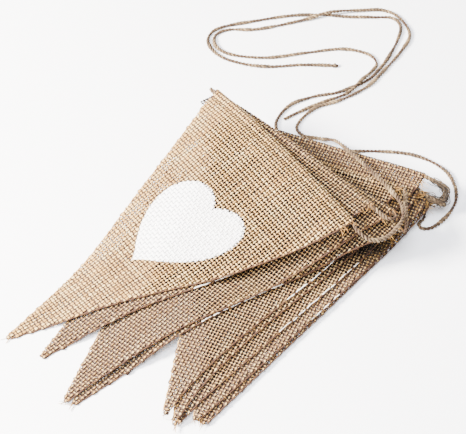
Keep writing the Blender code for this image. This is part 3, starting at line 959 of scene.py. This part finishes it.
def pressed_edge(cloth, tubes, chance, side, wide, tone):
    """The thread ends of a cut side (0 left, 1 right), pressed together into a thin line."""
    t = np.arange(2 * MM, cloth.flag.height - SQUARE_CUT, 2 * MM)
    u = cloth.flag.front_sides(t)[side] + chance.normal(0, 0.12, len(t)) * MM
    half = wide * (1 + 0.3 * slow_noise(chance, t, 9 * MM))
    tone = tone + 0.12 * slow_noise(chance, t, 14 * MM)
    round_tube(tubes, cloth.place(u, t, -0.1 * MM), half, 5, tone)


def woven_flag(cloth, number, material):
    """A flag in burlap, which stands for its CAD solid."""
    flag = cloth.flag
    chance = np.random.default_rng(100 + number)
    top = number == 1
    tubes = weave(cloth, chance, fine=top, corners=6 if top else 4)
    fray(cloth, tubes, chance)
    # The right side's line is painted dark: painted shade under the cut side's edge.
    pressed_edge(cloth, tubes, chance, 1, RIGHT_EDGE, RIGHT_EDGE_SHADE)
    pressed_edge(cloth, tubes, chance, 0, CUT_EDGE, cloth.tone - CUT_DARKER)
    # Painted highlight: a broken white line on some right sides, for the light their cut ends catch.
    if flag.name in PAINTED_HIGHLIGHTS:
        painted_highlight_line(cloth, tubes, chance, *PAINTED_HIGHLIGHTS[flag.name])
    piece = tubes.make("burlap_" + flag.name, material)
    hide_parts(flag.name)
    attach(piece, "root")
    v = np.linspace(0, flag.height, 200)
    left, right = flag.front_sides(v)


def heart_paint(cloth, material):
    """The skin of white paint that fills the weave's holes inside the stencilled heart."""
    points, faces = [], []
    for hoop in range(HOOPS + 1):
        reach = SKIN_REACH * (hoop + 0.4) / (HOOPS + 0.4)
        for spoke in range(SPOKES):
            angle = 2 * math.pi * spoke / SPOKES
            x = reach * math.cos(angle)
            y = reach * math.sin(angle) + LOBES * abs(x) ** LOBE_POWER
            wide = HEART_HALF_WIDE * (x + HEART_LEAN * y) / (1 - HEART_LEAN * HEART_TURN)
            high = HEART_HALF_HIGH * (y + HEART_TURN * x) / (1 - HEART_LEAN * HEART_TURN)
            points.append((HEART_MIDDLE[0] + wide, HEART_MIDDLE[1] + high))
    u, v = np.array(points).T * MM
    for hoop in range(HOOPS):
        first = hoop * SPOKES
        for spoke in range(SPOKES):
            here, beside = first + spoke, first + (spoke + 1) % SPOKES
            faces.append((here, here + SPOKES, beside + SPOKES, beside))
    faces.append(tuple(range(SPOKES)))
    mesh = bpy.data.meshes.new("heart_paint")
    mesh.from_pydata(cloth.place(u, v, SKIN_HEIGHT).tolist(), [], faces)
    piece = new_object("heart_paint", mesh, material)
    bpy.context.view_layer.objects.active = piece
    skin = piece.modifiers.new("skin", "SOLIDIFY")
    skin.thickness = SKIN_THICK
    skin.offset = -1
    bpy.ops.object.modifier_apply(modifier="skin")
    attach(piece, "root")


# === Studio ===


def white_table():
    """A plain white table under the flags."""
    bpy.ops.mesh.primitive_plane_add(size=8, location=(0, 0, -0.0001))
    table = bpy.context.object
    table.name = "white_table"
    settings = {"Roughness": 0.85, "Base Color": linear("#fbfbfc")}
    glow = {"Emission Color": linear("#fdfdff"), "Emission Strength": 0.3}
    table.data.materials.append(new_material("white laminate, matt", {**settings, **glow})[0])


def softbox(name, place, size, power, colour):
    """A soft square light that shines on the middle of the stack."""
    bpy.ops.object.light_add(type="AREA", location=place)
    light = bpy.context.object
    light.name = name
    light.data.shape = "SQUARE"
    light.data.size = size
    light.data.energy = power
    light.data.color = linear(colour)[:3]
    aim = Vector(SOFTBOX_AIM) - Vector(place)
    light.rotation_euler = aim.to_track_quat("-Z", "Y").to_euler()


def studio():
    white_table()
    for box in SOFTBOXES:
        softbox(*box)
    world = bpy.data.worlds.new("pale room")
    world.use_nodes = True
    world.node_tree.nodes["Background"].inputs["Color"].default_value = linear("#f6f6fb")
    world.node_tree.nodes["Background"].inputs["Strength"].default_value = 0.7
    bpy.context.scene.world = world


# === The whole ===


def main():
    set_camera()
    jute = make_jute_twine("jute twine, two-ply, natural")
    loose_end("jute_twine_back_end", "twine_back_end", BACK_END, np.random.default_rng(1), jute, "knot")
    loose_end("jute_twine_front_end", "twine_front_end", FRONT_END, np.random.default_rng(2), jute, "bare")
    flags = [Flag(row) for row in FLAGS]
    cloths = []
    for flag in flags:
        cloths.append(Cloth(flag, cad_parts[flag.name], [cloth.tree for cloth in cloths]))
    for number, cloth in enumerate(cloths, 1):
        behind = cloth.read_cover([lower.tree for lower in cloths[number:]], SIGHT, HIDES_TABLE)
        bare = soften(1 - behind, 3)
        # Softening has spread the bare part, so that it is made full again near its edge.
        cloth.bare = np.minimum(1.5 * bare, 1) * (1 - cloth.shade)
        cloth.tone = TOP_TONE if number <= TOP_FLAGS else LOWER_TONE
    held_twine(cloths, np.random.default_rng(3), jute)
    burlap = make_burlap("burlap, natural jute, plain weave")
    painted = make_burlap("burlap, natural jute, stencilled", flags[0])
    for number, cloth in enumerate(cloths, 1):
        woven_flag(cloth, number, painted if number == 1 else burlap)
    heart_paint(cloths[0], make_fabric_paint("fabric paint, white, dried"))
    studio()


main()
